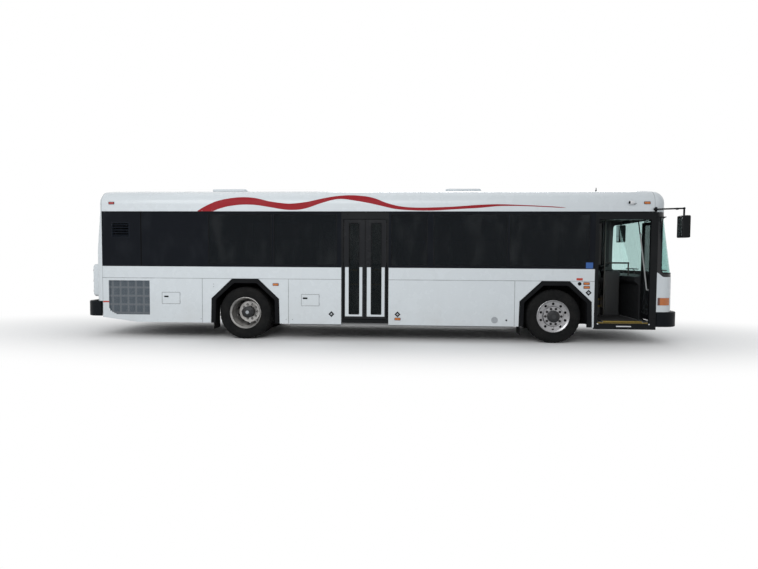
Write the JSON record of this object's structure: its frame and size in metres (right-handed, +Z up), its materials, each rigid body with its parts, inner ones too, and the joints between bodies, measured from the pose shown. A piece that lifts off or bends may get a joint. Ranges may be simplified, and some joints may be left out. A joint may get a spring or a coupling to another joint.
{
  "type": "city bus",
  "caption": "Low-floor transit bus with an open folding front door, a swing-out rear door, a fold-out ramp, steered front wheels and twin rear wheels.",
  "frame": {"origin": "on the ground at the middle of the bounding box's footprint", "axes": "+X forward, +Y to the street side (driver's left), +Z up"},
  "size_m": [10.97, 3.23, 2.906],
  "materials": {
    "white_paint": "gloss",
    "black_trim": "satin",
    "black_band": "gloss",
    "dark_glass": "tinted",
    "clear_glass": "clear",
    "grey_floor": "matt",
    "frame_paint": "satin",
    "tyre": "matt",
    "wheel": "polished",
    "steel": "brushed",
    "rubber": "matt",
    "seat_shell": "satin",
    "seat_fabric": "woven",
    "yellow_rail": "gloss",
    "lamp_clear": "clear",
    "lamp_red": "gloss",
    "lamp_amber": "gloss",
    "cast": "rough",
    "aluminium_grille": "satin"
  },
  "bodies": {
    "body": {"roof": "white_paint", "front_cap": "white_paint", "rear_cap": "white_paint", "side_panels_right": "white_paint", "side_panels_left": "white_paint", "window_frames_right": "black_band", "window_frames_left": "black_band", "side_glass": "dark_glass", "windscreen": "clear_glass", "door_frames": "black_trim", "arch_trims": "black_trim", "front_bumper": "rubber", "rear_bumper": "rubber", "grilles": "aluminium_grille", "headlamps": "lamp_clear", "red_lamps": "lamp_red", "amber_lamps": "lamp_amber", "mirrors": "black_trim", "floor": "grey_floor", "wheel_housings": "frame_paint", "underframe": "frame_paint", "tow_eyes": "frame_paint", "engine": "cast", "fuel_tank": "steel", "propeller_shaft": "steel", "rear_axle": "cast", "front_axle": "cast", "air_springs": "rubber", "passenger_seats": "seat_shell", "driver_seat": "seat_fabric", "dashboard": "frame_paint", "farebox": "steel", "handrails": "yellow_rail", "wipers": "black_trim", "sign_boxes": "black_trim"},
    "front_wheel_right": {"front_tyre_right": "tyre", "front_wheel_right": "wheel"},
    "front_wheel_left": {"front_tyre_left": "tyre", "front_wheel_left": "wheel"},
    "rear_wheels_right": {"rear_tyres_right": "tyre", "rear_wheels_right": "wheel"},
    "rear_wheels_left": {"rear_tyres_left": "tyre", "rear_wheels_left": "wheel"},
    "knuckle_right": {"knuckle_right": "cast"},
    "knuckle_left": {"knuckle_left": "cast"},
    "steering_wheel": {"steering_wheel": "black_trim"},
    "front_door_arm_front": {"front_door_arm_front": "steel"},
    "front_door_arm_rear": {"front_door_arm_rear": "steel"},
    "front_door_front": {"front_door_leaf_front": "black_trim", "front_door_glass_front": "clear_glass"},
    "front_door_rear": {"front_door_leaf_rear": "black_trim", "front_door_glass_rear": "clear_glass"},
    "rear_door_front": {"rear_door_leaf_front": "black_trim", "rear_door_glass_front": "dark_glass"},
    "rear_door_rear": {"rear_door_leaf_rear": "black_trim", "rear_door_glass_rear": "dark_glass"},
    "ramp": {"ramp": "steel"},
    "engine_door": {"engine_door": "white_paint"},
    "hatch_front": {"roof_hatch_front": "white_paint"},
    "hatch_rear": {"roof_hatch_rear": "white_paint"}
  },
  "joints": [
    {"name": "steer_right", "type": "hinge", "parent": "body", "child": "knuckle_right", "pos_m": [3.275, -0.96, 0.49], "axis": [0, 0, 1], "range_deg": [-38, 38]},
    {"name": "front_roll_right", "type": "hinge", "parent": "knuckle_right", "child": "front_wheel_right", "pos_m": [3.275, -1.102, 0.49], "axis": [0, 1, 0], "continuous": true},
    {"name": "rear_roll_right", "type": "hinge", "parent": "body", "child": "rear_wheels_right", "pos_m": [-2.41, -1.102, 0.49], "axis": [0, 1, 0], "continuous": true},
    {"name": "steer_left", "type": "hinge", "parent": "body", "child": "knuckle_left", "pos_m": [3.275, 0.96, 0.49], "axis": [0, 0, 1], "range_deg": [-38, 38]},
    {"name": "front_roll_left", "type": "hinge", "parent": "knuckle_left", "child": "front_wheel_left", "pos_m": [3.275, 1.102, 0.49], "axis": [0, 1, 0], "continuous": true},
    {"name": "rear_roll_left", "type": "hinge", "parent": "body", "child": "rear_wheels_left", "pos_m": [-2.41, 1.102, 0.49], "axis": [0, 1, 0], "continuous": true},
    {"name": "steering_wheel_turn", "type": "hinge", "parent": "body", "child": "steering_wheel", "pos_m": [4.7, 0.74, 1.355], "axis": [-0.4695, 0, 0.8829], "range_deg": [-684, 684]},
    {"name": "front_door_swing_rear", "type": "hinge", "parent": "body", "child": "front_door_arm_rear", "pos_m": [4.039, -1.225, 1.3], "axis": [0, 0, 1], "range_deg": [-90, 0]},
    {"name": "front_door_fold_rear", "type": "hinge", "parent": "front_door_arm_rear", "child": "front_door_rear", "pos_m": [4.039, -1.0065, 1.3], "axis": [0, 0, 1], "range_deg": [0, 180]},
    {"name": "front_door_swing_front", "type": "hinge", "parent": "body", "child": "front_door_arm_front", "pos_m": [4.939, -1.225, 1.3], "axis": [0, 0, -1], "range_deg": [-90, 0]},
    {"name": "front_door_fold_front", "type": "hinge", "parent": "front_door_arm_front", "child": "front_door_front", "pos_m": [4.939, -1.0065, 1.3], "axis": [0, 0, -1], "range_deg": [0, 180]},
    {"name": "rear_door_rear", "type": "hinge", "parent": "body", "child": "rear_door_rear", "pos_m": [-0.529, -1.278, 1.3], "axis": [0, 0, -1], "range_deg": [0, 88]},
    {"name": "rear_door_front", "type": "hinge", "parent": "body", "child": "rear_door_front", "pos_m": [0.226, -1.278, 1.3], "axis": [0, 0, 1], "range_deg": [0, 88]},
    {"name": "ramp_fold", "type": "hinge", "parent": "body", "child": "ramp", "pos_m": [4.489, -1.262, 0.4093], "axis": [1, 0, 0], "range_deg": [0, 195]},
    {"name": "engine_door_lift", "type": "hinge", "parent": "body", "child": "engine_door", "pos_m": [-5.2893, 0, 1.393], "axis": [0, 1, 0], "range_deg": [0, 75]},
    {"name": "hatch_rear_lift", "type": "hinge", "parent": "body", "child": "hatch_rear", "pos_m": [-2.636, 0, 2.866], "axis": [0, 1, 0], "range_deg": [0, 30]},
    {"name": "hatch_front_lift", "type": "hinge", "parent": "body", "child": "hatch_front", "pos_m": [2.064, 0, 2.866], "axis": [0, 1, 0], "range_deg": [0, 30]}
  ],
  "couplings": [
    {"joint": "steer_left", "follows": "steer_right", "ratio": 1},
    {"joint": "steering_wheel_turn", "follows": "steer_right", "ratio": 18},
    {"joint": "front_door_fold_rear", "follows": "front_door_swing_rear", "ratio": -2},
    {"joint": "front_door_fold_front", "follows": "front_door_swing_front", "ratio": -2}
  ]
}
